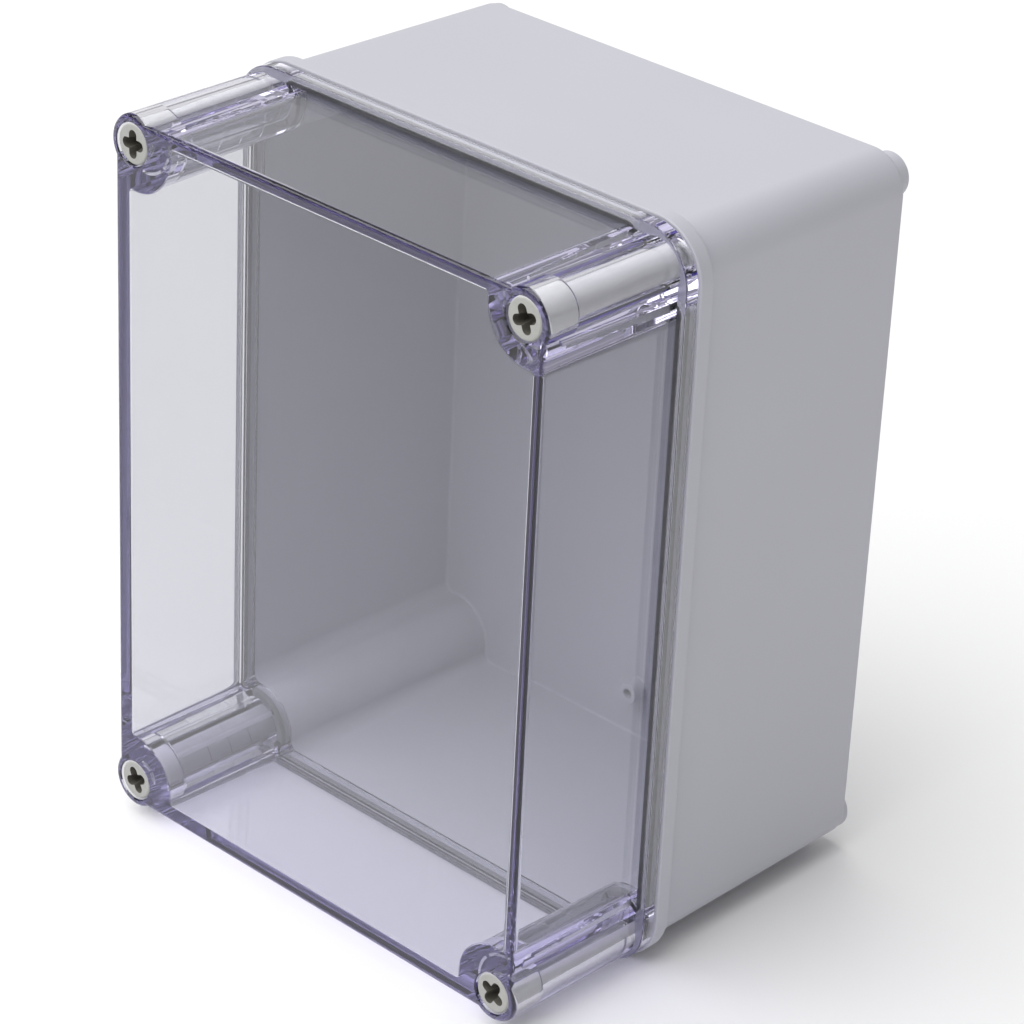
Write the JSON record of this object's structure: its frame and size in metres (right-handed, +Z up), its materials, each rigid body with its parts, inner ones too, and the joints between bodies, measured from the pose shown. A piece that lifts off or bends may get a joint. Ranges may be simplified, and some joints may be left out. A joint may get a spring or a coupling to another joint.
{
  "type": "abs enclosure",
  "caption": "Upright rectangular instrument enclosure: drafted grey base, deep clear screw-down cover, moulded seal line and wall-fixing feet.",
  "frame": {"origin": "middle of the bounding box's bottom, on the surface that the enclosure stands on", "axes": "+Z up along the long side, -Y out of the clear cover's front, +Y out of the wall-fixing back, +X to the right seen from the front"},
  "size_m": [0.1568, 0.1316, 0.2068],
  "materials": {
    "base_grey": "satin moulded light grey",
    "cover_clear": "polished clear, faint violet in the edges",
    "seal_rubber": "soft matt",
    "screw_grey": "moulded light grey"
  },
  "bodies": {
    "base": {"base": "base_grey"},
    "cover": {"cover": "cover_clear", "gasket": "seal_rubber"},
    "screw_top_right": {"cover_screw_top_right": "screw_grey"},
    "screw_top_left": {"cover_screw_top_left": "screw_grey"},
    "screw_bottom_left": {"cover_screw_bottom_left": "screw_grey"},
    "screw_bottom_right": {"cover_screw_bottom_right": "screw_grey"}
  },
  "joints": [
    {"name": "cover_lift_off", "type": "slide", "parent": "base", "child": "cover", "axis": [0, -1, 0], "range_m": [0, 0.08]},
    {"name": "screw_turn_top_right", "type": "hinge", "parent": "cover", "child": "screw_top_right", "pos_m": [0.0675, -0.06545, 0.1959], "axis": [0, -1, 0], "range_deg": [0, 2520]},
    {"name": "screw_turn_top_left", "type": "hinge", "parent": "cover", "child": "screw_top_left", "pos_m": [-0.0675, -0.06545, 0.1959], "axis": [0, -1, 0], "range_deg": [0, 2520]},
    {"name": "screw_turn_bottom_left", "type": "hinge", "parent": "cover", "child": "screw_bottom_left", "pos_m": [-0.0675, -0.06545, 0.0109], "axis": [0, -1, 0], "range_deg": [0, 2520]},
    {"name": "screw_turn_bottom_right", "type": "hinge", "parent": "cover", "child": "screw_bottom_right", "pos_m": [0.0675, -0.06545, 0.0109], "axis": [0, -1, 0], "range_deg": [0, 2520]}
  ]
}
